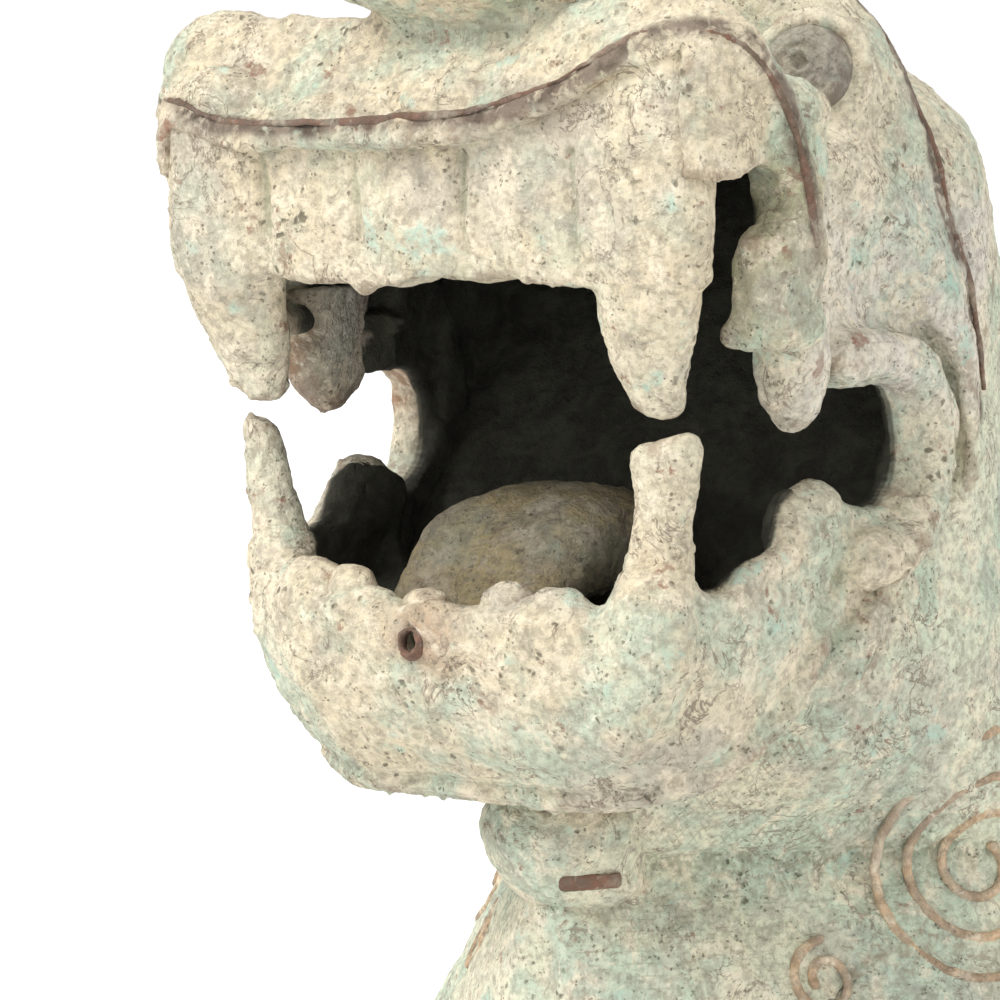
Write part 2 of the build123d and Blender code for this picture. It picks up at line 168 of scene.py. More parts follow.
def outline_distance(outline, u, v):
    """Distance to a closed flat outline, below 0 inside it."""
    best, sign = np.full(np.broadcast_shapes(u.shape, v.shape), 1e9), 1
    for (au, av), (bu, bv) in zip(outline, outline[1:] + outline[:1]):
        eu, ev, wu, wv = bu - au, bv - av, u - au, v - av
        t = np.clip((wu * eu + wv * ev) / (eu * eu + ev * ev), 0, 1)
        best = np.minimum(best, (wu - t * eu) ** 2 + (wv - t * ev) ** 2)
        crosses = ((av > v) != (bv > v)) & (u < au + eu * (v - av) / (ev if ev else 1e-9))
        sign = sign * np.where(crosses, -1, 1)
    return sign * np.sqrt(best)


def side_prism(outline, half_width=80):
    """An outline in the side view, (y, z) from the mouth corners, that goes right across."""
    outline = [(HEAD[1] + y, HEAD[2] + z) for y, z in outline]
    ys, zs = zip(*outline)

    def distance(x, y, z):
        flat = outline_distance(outline, y, z)
        return np.maximum(flat, np.abs(x) - half_width).astype(np.float32)

    return np.array([-half_width, min(ys), min(zs)]), np.array([half_width, max(ys), max(zs)]), distance


class Clay:
    """A signed-distance field on a box of cells: below 0 is solid."""

    def __init__(self, low, high, cell):
        self.low, self.cell = np.array(low, float), cell
        counts = np.ceil((np.array(high) - self.low) / cell).astype(int) + 1
        self.axes = [np.float32(start + cell * np.arange(count)) for start, count in zip(self.low, counts)]
        self.field = np.full(counts, FAR, np.float32)

    def fresh(self):
        """An empty clay on the same cells."""
        clay = Clay(self.low, self.low, self.cell)
        clay.axes, clay.field = self.axes, np.full(self.field.shape, FAR, np.float32)
        return clay

    def window(self, low, high, margin):
        cuts = tuple(slice(*np.searchsorted(axis, (a - margin, b + margin)))
                     for axis, a, b in zip(self.axes, low, high))
        x, y, z = (axis[cut] for axis, cut in zip(self.axes, cuts))
        return cuts, (x[:, None, None], y[None, :, None], z[None, None, :])

    def change(self, shape, k, how, margin=3):
        low, high, distance = shape
        cuts, points = self.window(low, high, k + margin)
        if all(cut.stop > cut.start for cut in cuts):
            self.field[cuts] = how(self.field[cuts], distance(*points).astype(np.float32), k)

    def join(self, shape, k=0.0):
        self.change(shape, k, smooth_min)

    def cut(self, shape, k=0.0):
        self.change(shape, k, lambda field, hole, k: smooth_max(field, -hole, k))

    def limit(self, distance, k=0.0):
        """Keeps only what is inside the region."""
        x, y, z = self.axes
        region = distance(x[:, None, None], y[None, :, None], z[None, None, :]).astype(np.float32)
        self.field = smooth_max(self.field, region, k)

    def sample(self, field, points):
        """The field's value at the nearest cell of each point."""
        index = np.rint((points - self.low) / self.cell).astype(int)
        index = np.clip(index, 0, np.array(field.shape) - 1)
        return field[index[:, 0], index[:, 1], index[:, 2]]

    def rounding(self, reach):
        """How the surface bends over that reach: above 0 on ridges, below 0 in hollows."""
        blurred = np.clip(self.field, -reach, reach)
        radius = max(1, int(round(reach / self.cell)))
        for axis in range(3):
            pad = [(radius + 1, radius) if i == axis else (0, 0) for i in range(3)]
            sums = np.cumsum(np.pad(blurred, pad, mode="edge"), axis=axis, dtype=np.float32)
            size = 2 * radius + 1
            upper = np.take(sums, range(size, sums.shape[axis]), axis=axis)
            lower = np.take(sums, range(0, sums.shape[axis] - size), axis=axis)
            blurred = (upper - lower) / size
        return blurred / reach


# ------------------------------------------------------------------ noise
def hashed(ix, iy, iz, seed):
    """A fixed number from 0 to 1 for each whole-number place."""
    mix = (ix.astype(np.uint32) * np.uint32(0x8DA6B343)) ^ (iy.astype(np.uint32) * np.uint32(0xD8163841))
    mix = mix ^ (iz.astype(np.uint32) * np.uint32(0xCB1AB31F)) ^ np.uint32((seed * 0x9E3779B9) & 0xFFFFFFFF)
    mix = (mix ^ (mix >> np.uint32(13))) * np.uint32(0x5BD1E995)
    mix = (mix ^ (mix >> np.uint32(15))) * np.uint32(0x2545F491)
    return (mix ^ (mix >> np.uint32(16))).astype(np.float32) / np.float32(4294967295)


def noise(points, size, seed, octaves=3):
    """Smooth noise from about -1 to 1, its largest lumps about size across."""
    total, weight, gain = 0, 0, 1.0
    for octave in range(octaves):
        place = points / (size / 2 ** octave) + 1000
        whole = np.floor(place).astype(np.int64)
        part = (place - whole).astype(np.float32)
        part = part * part * (3 - 2 * part)
        value = 0
        for corner in range(8):
            dx, dy, dz = corner & 1, corner >> 1 & 1, corner >> 2
            share = ((part[:, 0] if dx else 1 - part[:, 0]) * (part[:, 1] if dy else 1 - part[:, 1])
                     * (part[:, 2] if dz else 1 - part[:, 2]))
            ix, iy, iz = (whole + (dx, dy, dz)).T
            value = value + share * hashed(ix, iy, iz, seed + octave)
        total, weight, gain = total + gain * (2 * value - 1), weight + gain, gain * 0.55
    return total / weight * 1.6


def pits(points, spacing, radius, seed, share):
    """Depth from 0 to 1 of round pits, one at most in each cell of the spacing."""
    depth = np.zeros(len(points), np.float32)
    place = points / spacing + 1000
    whole = np.floor(place).astype(np.int64)
    near = np.where(place - whole > 0.5, 1, -1)
    for corner in range(8):
        cell = whole + near * np.array([corner & 1, corner >> 1 & 1, corner >> 2])
        ix, iy, iz = cell.T
        centre = cell + 0.3 + 0.4 * np.stack([hashed(ix, iy, iz, seed + i) for i in range(3)], 1)
        size = radius * (0.5 + 0.8 * hashed(ix, iy, iz, seed + 4))
        away = np.sqrt(((place - centre) ** 2).sum(1)) * spacing
        there = hashed(ix, iy, iz, seed + 5) < share
        depth = np.maximum(depth, np.where(there, 1 - smoothstep(0.35, 1.0, away / size), 0))
    return depth


# ------------------------------------------------------------------ lines of the head
LIP_HEIGHT = ((-52, -44, -36, -25, -12, 0, 12, 25, 38, 47, 52),
              (61, 59, 57, 56.5, 56.5, 57, 58, 62, 68, 71, 71))
LIP_SIDE = [(50.8, -47, 69), (53.0, -40.5, 62), (53.6, -35.5, 52), (53.2, -32, 41), (51.6, -30, 33),
            (49.5, -30, 28)]
BROW_ROLL = [(14, -11, 71), (21, -5, 74.5), (29.5, 0, 75), (35, 4, 70), (38.8, 7, 63), (41, 8.5, 55.5),
             (42, 10, 47), (42.6, 13.5, 38), (42.6, 18, 26), (42, 22, 10)]
CORNER_RIM = [(-14, 24), (-5, 24), (3, 22.5), (8.6, 17.5), (10.6, 10), (8.6, 2.3), (3, -4.3), (-6, -6.5)]
JAW_EDGE = [(9, 7), (-5, -10.5), (-13, -18), (-20, -31), (-30, -40), (-40, -45)]
MOUTH_CORNER = [(5.6 * math.cos(a), 10 + 9 * math.sin(a)) for a in np.linspace(-np.pi / 2, np.pi / 2, 13)]
GAPE = [*MOUTH_CORNER, (-13, 19), (-19, 22), (-24, 26), (-39, 26), (-43, 35.5), (-80, 35.5), (-80, -13.5),
        (-44, -13.5), (-36, -9.5), (-30, -5), (-12, 0)]
JAW_REGION = [(10, 4), (0, 2), (-12, 6), (-80, 6), (-80, -60), (-44, -49), (-30, -42), (-20, -33),
              (-13, -20), (-4, -12)]
TOOTH_GROOVES = (-28.0, -10.6, 8.9, 28.6)
MUZZLE_FRONT, MUZZLE_SLOPE = 56.5, 1.6      # reach before the mouth corners, and rise of the top per mm
KEEL = (0.81, 0.588)                        # how the throat's two flanks face, sideways and forward


def lip_line(side):
    """The rim of the upper lip on one side, from the middle of the muzzle to the side lip's foot."""
    front = []
    for x, y in ((0, -56.8), (12, -57), (25, -56.6), (36, -55), (44, -52)):
        front.append((x, y, np.interp(side * x, *LIP_HEIGHT)))
    return front + [(x, y, min(z, 70 if side > 0 else 61)) for x, y, z in LIP_SIDE]


def head_line(points, side=1):
    return [tuple(at_head(side * p[0], p[1], p[2])) + tuple(p[3:]) for p in points]


# ------------------------------------------------------------------ the beast as one body of clay
def lay_trunk(clay):
    """Neck, chest, barrel and rump, with the throat narrowed to a prow."""
    trunk = clay.fresh()
    trunk.join(tube([(0, -84, 243, 44), (0, -82, 205, 47), (0, -78, 170, 52)],
                    spans=2, squash=(1.08, 1, 1)))
    trunk.join(ball((0, -82, 150), (49, 57, 57)), 18)
    trunk.join(tube([(0, -50, 150, 55), (0, 10, 147, 53), (0, 70, 148, 50)],
                    spans=2, squash=(1.09, 1, 1)), 18)
    trunk.join(ball((0, 92, 152), (48, 44, 50)), 14)
    trunk.limit(lambda x, y, z: prow(x, y, z, 0.95), 10)
    clay.field = smooth_min(clay.field, trunk.field, 12)


def prow(x, y, z, rise):
    """Below 0 behind the keel of the throat and chest; rise is how fast it clears the jaw above."""
    y, z = y - HEAD[1], z - HEAD[2]
    room = 16.8 + smooth_max(0.43 * (-54 - z), rise * (z + 54), 8)
    return (KEEL[0] * np.sqrt(x * x + 50) - KEEL[1] * y - room).astype(np.float32)


def lay_legs(clay):
    for side in SIDES.values():
        clay.join(ball((side * 27, -81, 107), (36, 37, 38)), 12)
        clay.join(ball((side * 22, 90, 126), (41, 43, 43)), 10)
        clay.join(tube([(side * 37, -92, 112, 22), (side * 41, -97, 82, 19), (side * 44, -101, 48, 16),
                        (side * 45, -104, 18, 17)], spans=3), 10)
        clay.join(tube([(side * 38, 96, 112, 25), (side * 42, 103, 82, 18.5), (side * 44, 113, 48, 14.5),
                        (side * 45, 106, 18, 16.5)], spans=3), 10)
        for paw_y in (-113, 98):
            clay.join(block((side * 45, paw_y + 4, 11), (18, 22, 10.5), 8), 7)
            for i, spread in enumerate((-13.2, -4.6, 4.6, 13.2)):
                front = paw_y - 21 + (2.5 if i in (0, 3) else 0)
                across = side * 45 + spread
                clay.join(tube([(side * 45 + spread * 0.8, paw_y + 2, 12, 6), (across, front + 6, 11, 6.8),
                                (side * 45 + spread * 1.04, front, 7.2, 6.3)], spans=2), 2)
                clay.join(tube([(across, front - 5, 7.5, 2.6), (across, front - 7.5, 2.5, 1.2)], spans=1), 1)
        # tufts behind the elbow and the hock
        for tuft in ([(side * 45, -80, 92, 6), (side * 47, -73, 82, 4), (side * 48, -68, 72, 1.5)],
                     [(side * 44, 120, 66, 6), (side * 45, 127, 58, 4), (side * 45, 131, 50, 1.5)]):
            clay.join(tube(tuft, spans=3), 5)


def lay_tail(clay):
    line = [(0, 118, 186, 9), (0, 136, 199, 9), (0, 152, 214, 8.5), (0, 162, 236, 8), (0, 158, 258, 7.5),
            (0, 144, 269, 7.5), (0, 132, 263, 8), (0, 131, 253, 7)]
    clay.join(tube(line, spans=5), 6)


def lay_skull(clay):
    """Cheeks, forehead and the deep jaw, closed: the mass that the wall is measured from."""
    clay.join(block(at_head(0, 13, 14), (47.5, 33, 55), 24), 10)
    muzzle = clay.fresh()
    muzzle.join(block(at_head(0, -41.5, 56), (53.6, 15, 21.5), 12))
    muzzle.limit(lambda x, y, z: 0.53 * (z - HEAD[2] - np.interp(x, *LIP_HEIGHT)
                                         - MUZZLE_SLOPE * (y - HEAD[1] + MUZZLE_FRONT)), 5)
    muzzle.limit(lambda x, y, z: (y - HEAD[1] + 28 + 0.42 * (z - HEAD[2] - 40)) * 0.92 + 0 * x, 4)
    muzzle.join(block(at_head(0, -26, 54), (33, 17, 20), 11), 6)
    for side in SIDES.values():
        muzzle.join(block(at_head(side * 35.5, -19, 40), (12, 15, 17.5), 7), 6)
    clay.field = smooth_min(clay.field, muzzle.field, 5)


def lay_jaw(clay):
    jaw = clay.fresh()
    jaw.join(block(at_head(0, -20, -2), (44.5, 32.5, 42), 27))
    region = side_prism([(12, 30), (12, 8), *JAW_EDGE, (-52, -49), (-80, -46), (-80, 30)])[2]
    x, y, z = (a.reshape(s) for a, s in zip(clay.axes, ((-1, 1, 1), (1, -1, 1), (1, 1, -1))))
    edge = region(x, y, z)
    cord = smooth_max(jaw.field - 1.8, np.abs(edge + 1.6) - 1.8, 1.6)
    near_skin = np.maximum(np.abs(clay.field) - 1.7, np.abs(jaw.field) - 6)
    groove = smooth_max(near_skin, np.abs(edge - 2.6) - 1.5, 1.5)
    jaw.field = smooth_min(smooth_max(jaw.field, edge, 1.5), cord, 1.5)
    clay.field = np.minimum(smooth_max(clay.field, -groove, 2), jaw.field)


def lay_face(clay):
    """Everything that stands proud of the head's wall."""
    for side in SIDES.values():
        clay.join(tube(head_line(lip_line(side), side), 2.2), 3)
        clay.join(tube([p + (7.4 - 0.25 * i,) for i, p in enumerate(head_line(BROW_ROLL, side))]), 4)
        # fold from the brow down to the cheek
        clay.join(tube(head_line([(44, -8, 50), (47.5, 6, 38), (48.5, 15, 24), (48, 18, 6)], side), 3.2), 8)
        # mound under the eye, and the ring of its lid
        clay.join(ball(at_head(side * 34.5, -2, 64), (11.5, 10, 10.5)), 5)
        lid = [(39.6 + 5.9 * math.cos(a), -9.6 + 5.3 * math.cos(a), 66.4 + 7.6 * math.sin(a))
               for a in np.linspace(0, 2 * np.pi, 13)]
        clay.join(tube(head_line(lid, side), 1.1, 2), 1.5)
        # nostril bulbs
        clay.join(ball(at_head(side * 10.5, -49.5, 86), (10.5, 9, 11)), 5)
        clay.cut(ball(at_head(side * 11, -59, 88), (3.6, 4, 3.2)), 2)
        # hanging side lip: a thick front face and a round lobe at its foot
        clay.join(block(at_head(side * 48.4, -34, 46), (5.8, 6.4, 19), 4.2, (-12, 0, 0)), 3)
        clay.join(ball(at_head(side * 48.0, -34, 29), (6.4, 7, 5)), 4)
        foot = [(46, -41, 31), (49, -39.5, 28), (51.4, -34, 28), (50.4, -30, 30)]
        clay.join(tube(head_line(foot, side), 2.9), 3)
        crease = [(45.5, -42, 58), (47.6, -42, 50), (47.2, -42.6, 42), (48.4, -42.8, 34)]
        clay.cut(tube(head_line(crease, side), 1.1), 2)
        rim = [(side * 48, y, z) for y, z in CORNER_RIM]
        clay.join(tube(head_line(rim), 4.4), 2)
        ditch = [(side * 49.4, y * 1.55 - 1, 10 + (z - 10) * 1.5) for y, z in CORNER_RIM[1:7]]
        clay.cut(tube(head_line(ditch), 1.7), 2)
    clay.join(block(at_head(0, -32, 80.5), (13, 15, 8.5), 6), 5)
    clay.join(ball(at_head(0, -49, 86), (13, 10, 11.5)), 5)
    # folds on top of the muzzle, ring inside ring at both corners
    for side in SIDES.values():
        for ring in (4.5, 8.5, 12.5):
            fold = []
            for a in np.linspace(0.2, 2.7, 9):
                x, y = side * (34 + ring * 1.15 * math.cos(a)), -50.5 + ring * 0.42 * math.sin(a)
                top = 75.5 - 0.045 * max(0, abs(x) - 41) ** 2
                z = np.interp(x, *LIP_HEIGHT) + MUZZLE_SLOPE * (y + MUZZLE_FRONT) - 3
                fold.append((x, y, min(z, top)))
            clay.join(tube(head_line(fold), 1.0), 2)


def head_holes(clay, hollow):
    """The hollow inside, the open mouth, and the slots beside the fangs."""
    clay.field = smooth_max(clay.field, -hollow, 1.2)
    clay.cut(side_prism(GAPE), 1.6)
    for side in SIDES.values():
        clay.cut(block(at_head(side * 52, -49.5, 39.5), (8, 6.2, 11), 2), 1.5)
        clay.cut(ball(at_head(side * 50, -43, 47.5), (8, 5.5, 5)), 1.5)
    clay.cut(block(at_head(0, -38, 43), (46, 13, 14), 5), 2)
    clay.cut(block(at_head(0, -46, 16), (41, 32, 24), 6), 2)


def lay_jaw_details(clay):
    """Lumpy rim of the jaw and the mound that each fang stands on."""
    for side in SIDES.values():
        clay.join(ball(at_head(side * 41.3, -14, -1), (4.6, 8.5, 6)), 3)
        root = [(34.6, -43, -10, 6.4), (34, -44.4, -17, 6.6), (32.6, -45, -24, 5), (31, -45, -30, 3)]
        clay.join(tube(head_line(root if side > 0 else [(35.5, -41, -8, 6), (34.5, -41, -16, 5)], side)), 5)
    for x, y, z, size in ((-25, -47.5, -11.5, 5), (-13, -49.5, -14.5, 4.6), (0, -50, -16, 4.4),
                          (12, -49.5, -16, 4.4), (21, -48, -13.5, 4.8)):
        clay.join(ball(at_head(x, y, z), (size + 1.5, 3.4, size)), 4)


def lay_beast(low, high, cell):
    """The whole casting on one grid, and the field of its skin before the hollows were cut."""
    clay = Clay(low, high, cell)
    lay_skull(clay)
    shell = clay.fresh()
    shell.field = clay.field.copy()
    lay_trunk(clay)
    lay_jaw(shell)
    x, y, z = (axis.reshape(shape) for axis, shape in zip(clay.axes, ((-1, 1, 1), (1, -1, 1), (1, 1, -1))))
    hollow = np.maximum(shell.field + WALL, 4 - neck_side(x, y, z)).astype(np.float32)
    lay_legs(clay)
    clay.limit(lambda x, y, z: prow(x, y, z, 4), 6)
    # leaf-shaped boss on the chest
    clay.join(ball(at_head(0, -17, -71), (8.5, 6.5, 14)), 2.5)
    clay.cut(ball(at_head(0, -24.5, -70), (5, 2.6, 9.5)), 1.5)
    lay_jaw(clay)
    lay_tail(clay)
    lay_face(clay)
    skin = clay.field.copy()
    head_holes(clay, hollow)
    details = clay.fresh()
    lay_jaw_details(details)
    clay.field = smooth_min(clay.field, details.field, 4)
    clay.cut(tube(head_line([(-2, -60, -18), (-2, -46, -18)]), 1.7, 1), 1)
    return clay, np.minimum(skin, details.field)


def neck_side(x, y, z):
    """Above 0 in front of the joint between head and trunk."""
    y, z = y - HEAD[1] - NECK_POINT[1], z - HEAD[2] - NECK_POINT[2]
    return y * NECK_NORMAL[1] + z * NECK_NORMAL[2] + 0 * x


def in_jaw(x, y, z):
    return side_prism(JAW_REGION)[2](x, y, z)


# ------------------------------------------------------------------ paint: linear colours by place
def srgb(r, g, b):
    """A linear colour from display values of 0 to 255."""
    return np.array([((c / 255 + 0.055) / 1.055) ** 2.4 for c in (r, g, b)])


CREAM, TAN, SAGE = srgb(224, 210, 180), srgb(220, 207, 180), srgb(214, 220, 194)
LAVENDER, BODY = srgb(226, 220, 208), srgb(222, 226, 200)
RUST, MOSS = srgb(168, 132, 104), srgb(168, 172, 138)


def region_tint(points):
    """The crust's own colour at each point, before spots and stains."""
    x, y, z = (points - HEAD).T
    wobble = noise(points, 14, 91, 3) * 4
    tint = np.repeat(BODY[None], len(points), 0)

    def paint(colour, amount):
        nonlocal tint
        tint = tint + (np.array(colour) - tint) * amount[:, None]

    in_head = smoothstep(-6, 8, neck_side(*points.T) + wobble)
    paint(TAN, 0.75 * in_head)
    paint(LAVENDER, in_head * smoothstep(22, 12, np.abs(z - 32 + wobble)) * smoothstep(-32, -22, y) * 0.9)
    paint(CREAM, smoothstep(-18, -34, y + wobble) * smoothstep(20, 32, z))
    paint(CREAM, smoothstep(-36, -46, y + wobble) * smoothstep(10, 2, z) * 0.9)
    paint(TAN, smoothstep(-46, -30, y + wobble) * smoothstep(10, 2, z) * smoothstep(10, -4, y) * 0.5)
    paint(SAGE, smoothstep(-44, -50, z + wobble) * 0.4)
    from_chin_hole = np.sqrt((x + 1) ** 2 + (y + 52) ** 2 + (z + 17) ** 2)
    paint(RUST, 0.6 * smoothstep(10, 3, from_chin_hole + 0.4 * wobble))
    paint(RUST, smoothstep(-38, -42, x) * smoothstep(-36, -30, y) * smoothstep(36, 30, z)
          * smoothstep(8, 14, z))
    paint(MOSS, smoothstep(41, 45, x) * smoothstep(-44, -41, y) * smoothstep(-28, -36, y)
          * smoothstep(24, 30, z) * smoothstep(64, 56, z) * 0.8)
    return tint


# ------------------------------------------------------------------ materials
class Nodes:
    """Short ways to add shader nodes; a value that is a socket is linked, others are set."""

    def __init__(self, name):
        self.material = bpy.data.materials.new(name)
        self.material.use_nodes = True
        self.tree = self.material.node_tree
        self.shader = self.tree.nodes["Principled BSDF"]
        self.place = self.scaled(self.add("ShaderNodeTexCoord").outputs["Object"], 1 / MM)

    def add(self, kind, inputs=None, **settings):
        node = self.tree.nodes.new(kind)
        for key, value in settings.items():
            setattr(node, key, value)
        for key, value in (inputs or {}).items():
            self.put(node.inputs[key], value)
        return node

    def put(self, socket, value):
        if isinstance(value, bpy.types.NodeSocket):
            self.tree.links.new(value, socket)
        else:
            socket.default_value = value

    def scaled(self, vector, factor):
        return self.add("ShaderNodeVectorMath", {0: vector, "Scale": factor}, operation="SCALE").outputs[0]

    def moved(self, vector, step):
        return self.add("ShaderNodeVectorMath", {0: vector, 1: step}).outputs[0]

    def attribute(self, name):
        return self.add("ShaderNodeAttribute", attribute_name=name)

    def noise(self, size, seed, detail=4.0, rough=0.6, warp=0.0):
        spot = self.moved(self.place, (seed * 37.1, seed * 17.3, seed * 7.7))
        return self.add("ShaderNodeTexNoise", {"Vector": spot, "Scale": 1 / size, "Detail": detail,
                                               "Roughness": rough, "Distortion": warp}).outputs["Fac"]

    def cells(self, size, seed):
        spot = self.moved(self.place, (seed * 31.7, seed * 13.1, seed * 5.3))
        bent = self.add("ShaderNodeTexNoise", {"Vector": self.place, "Scale": 1.3 / size, "Detail": 2.0})
        spot = self.moved(spot, self.scaled(bent.outputs["Color"], 1.1 * size))
        return self.add("ShaderNodeTexVoronoi", {"Vector": spot, "Scale": 1 / size}).outputs["Distance"]

    def ramp(self, value, low, high, start=0.0, end=1.0):
        return self.add("ShaderNodeMapRange", {0: value, 1: low, 2: high, 3: start, 4: end},
                        interpolation_type="SMOOTHSTEP").outputs[0]

    def math(self, how, a, b):
        return self.add("ShaderNodeMath", {0: a, 1: b}, operation=how, use_clamp=how == "MULTIPLY").outputs[0]

    def mix(self, amount, a, b):
        node = self.add("ShaderNodeMix", {0: amount}, data_type="RGBA")
        for socket, value in ((node.inputs[6], a), (node.inputs[7], b)):
            self.put(socket, value if isinstance(value, bpy.types.NodeSocket) else (*value, 1.0))
        return node.outputs[2]


def crust(name, spots=1.0, green=1.0, own=None, grain=1.0, shade=1.0):
    """Mineral crust on bronze: mottled, pitted, stained green, turquoise and rust, with painted shade in the
    hollows and deep inside the head.
    """
    n = Nodes(name)

    def tone(r, g, b):
        return r * shade, g * shade, b * shade

    base = n.attribute("tint").outputs["Color"] if own is None else own
    bend = n.attribute("bend").outputs["Fac"]
    depth = n.attribute("depth").outputs["Fac"]
    line = n.attribute("line").outputs["Fac"]
    broad, middle, small = n.noise(17, 1, 5), n.noise(5.5, 2, 6, 0.62, 0.6), n.noise(1.5, 3, 5, 0.7)
    streaks = n.noise(2.8, 9, 4, 0.7, 1.5)
    wide = n.noise(27, 16, 4, 0.6)
    colour = n.mix(n.ramp(wide, 0.50, 0.64, 0.0, 0.5), base, tone(0.84, 0.75, 0.59))
    colour = n.mix(n.ramp(wide, 0.49, 0.37, 0.0, 0.5), colour, tone(0.46, 0.43, 0.38))
    colour = n.mix(n.ramp(broad, 0.47, 0.62, 0.0, 0.7 * green), colour, tone(0.50, 0.62, 0.49))
    colour = n.mix(n.ramp(middle, 0.49, 0.66, 0.0, 0.75), colour, tone(0.86, 0.76, 0.58))
    colour = n.mix(n.ramp(middle, 0.47, 0.33, 0.0, 0.5), colour, tone(0.36, 0.33, 0.27))
    colour = n.mix(n.ramp(streaks, 0.53, 0.66, 0.0, 0.45), colour, tone(0.25, 0.22, 0.17))
    flakes = n.noise(3.4, 14, 4, 0.65, 2.5)
    colour = n.mix(n.ramp(flakes, 0.57, 0.68, 0.0, 0.6), colour, tone(0.90, 0.82, 0.66))
    colour = n.mix(n.ramp(small, 0.36, 0.58, 1.0, 0.0), colour, n.mix(0.42, colour, tone(0.20, 0.17, 0.12)))
    vein = n.noise(8, 17, 5, 0.62, 0.8)
    vein = n.math("MULTIPLY", n.ramp(vein, 0.478, 0.498), n.ramp(vein, 0.52, 0.50))
    vein = n.math("MULTIPLY", vein, n.ramp(n.noise(15, 18, 3), 0.47, 0.60, 0.0, 0.75))
    colour = n.mix(vein, colour, tone(0.20, 0.15, 0.11))
    # hollows keep green dirt and also get painted shade, a darker colour where the surface bends inward;
    # ridges are rubbed darker
    colour = n.mix(n.ramp(bend, -0.10, -0.45, 0.0, 0.6), colour, tone(0.25, 0.27, 0.18))
    rub = n.math("MULTIPLY", n.ramp(bend, 0.14, 0.40), n.ramp(n.noise(4.5, 5, 4), 0.42, 0.62, 0.0, 0.6))
    colour = n.mix(rub, colour, tone(0.27, 0.19, 0.13))
    # turquoise, rust and dark spots
    blue = n.math("MULTIPLY", n.ramp(n.noise(9, 6, 3), 0.61, 0.70),
                  n.ramp(small, 0.40, 0.60, 0.1, 0.6 * spots))
    colour = n.mix(blue, colour, tone(0.40, 0.62, 0.52))
    rust = n.math("MULTIPLY", n.ramp(n.noise(6.5, 7, 5, 0.65), 0.62, 0.68),
                  n.ramp(small, 0.35, 0.60, 0.25, 0.85 * spots))
    colour = n.mix(rust, colour, tone(0.27, 0.14, 0.09))
    hole = n.math("MULTIPLY", n.ramp(n.cells(2.6, 1), 0.27, 0.10),
                  n.ramp(n.noise(9, 8, 3), 0.54, 0.63, 0.0, 1.0))
    tiny = n.math("MULTIPLY", n.ramp(n.cells(1.0, 2), 0.30, 0.14),
                  n.ramp(n.noise(4, 10, 4), 0.47, 0.60, 0.0, 0.85))
    pitted = n.math("MULTIPLY", n.math("MAXIMUM", hole, tiny), 0.75 * spots)
    colour = n.mix(pitted, colour, tone(0.10, 0.085, 0.05))
    # stained lines, and painted shade inside: a very dark colour on the walls deep in the hollow head and
    # throat
    broken = n.ramp(n.noise(3.2, 11, 4, 0.6, 0.5), 0.36, 0.52, 0.25, 0.95)
    colour = n.mix(n.math("MULTIPLY", line, broken), colour,
                   n.mix(n.ramp(middle, 0.4, 0.6), (0.11, 0.08, 0.06), (0.22, 0.17, 0.13)))
    inside = n.mix(n.ramp(middle, 0.35, 0.65), (0.036, 0.035, 0.026), (0.066, 0.066, 0.049))
    colour = n.mix(n.ramp(depth, 1.6, 3.4), colour, inside)
    n.put(n.shader.inputs["Base Color"], colour)
    n.put(n.shader.inputs["Roughness"], n.ramp(small, 0.3, 0.7, 0.72, 0.95))
    n.shader.inputs["Specular IOR Level"].default_value = 0.25
    fine = n.ramp(n.noise(0.55, 12, 4, 0.7), 0.2, 0.8, 0.0, 0.30)
    relief = n.math("ADD", n.ramp(small, 0.2, 0.8, 0.0, 0.50), fine)
    relief = n.math("ADD", relief, n.ramp(middle, 0.2, 0.8, 0.0, 0.55))
    relief = n.math("SUBTRACT", relief, n.math("MAXIMUM", hole, n.math("MULTIPLY", tiny, 0.5)))
    bump = n.add("ShaderNodeBump", {"Strength": 0.9, "Distance": 0.00055 * grain, "Height": relief})
    n.put(n.shader.inputs["Normal"], bump.outputs[0])
    return n.material


def floor_material():
    n = Nodes("studio_floor")
    cloudy = n.ramp(n.noise(90, 1, 2), 0.3, 0.7)
    n.put(n.shader.inputs["Base Color"], n.mix(cloudy, (0.86, 0.86, 0.86), (0.9, 0.9, 0.9)))
    n.shader.inputs["Roughness"].default_value = 0.9
    return n.material


BRONZE = crust("bronze_crust")
TEETH = crust("teeth_crust", green=0.45)
TONGUE = crust("tongue_crust", own=(0.29, 0.235, 0.125), green=0.5, spots=0.6, grain=1.5, shade=0.42)
EYE = crust("eye_crust", own=(0.34, 0.32, 0.27), green=0.3, spots=0.4, shade=0.6)
COPPER = crust("copper_crust", own=(0.24, 0.12, 0.08), green=0.15, spots=0.5, shade=0.5)
GOLD = crust("gold_crust", own=(0.68, 0.48, 0.30), green=0.1, spots=0.3)
CLAY_CORE = crust("clay_core", own=(0.30, 0.19, 0.13), green=0.0, spots=0.3, shade=0.5)


# ------------------------------------------------------------------ from clay to mesh
def polyline_distance(points, line):
    """Distance from each point to a line through the given places."""
    best = np.full(len(points), FAR)
    for a, b in zip(line, line[1:]):
        step = b - a
        t = np.clip((points - a) @ step / (step @ step), 0, 1)
        best = np.minimum(best, np.linalg.norm(points - a - t[:, None] * step, axis=1))
    return best


def stain_lines(points):
    """1 on the dark inlaid lines of the lip and brow, fading to 0 beside them."""
    line = np.zeros(len(points))
    for side in SIDES.values():
        crest = curve_points(head_line(lip_line(side), side))[:, :3] + np.array([side * 1.2, -0.9, 1.3])
        brow = curve_points(head_line(BROW_ROLL, side))[:, :3] + np.array([side * 4.6, 3.4, 4.0])
        for path, width in ((crest, 2.6), (brow, 3.4)):
            line = np.maximum(line, 1 - smoothstep(0.45 * width, width, polyline_distance(points, path)))
    return line


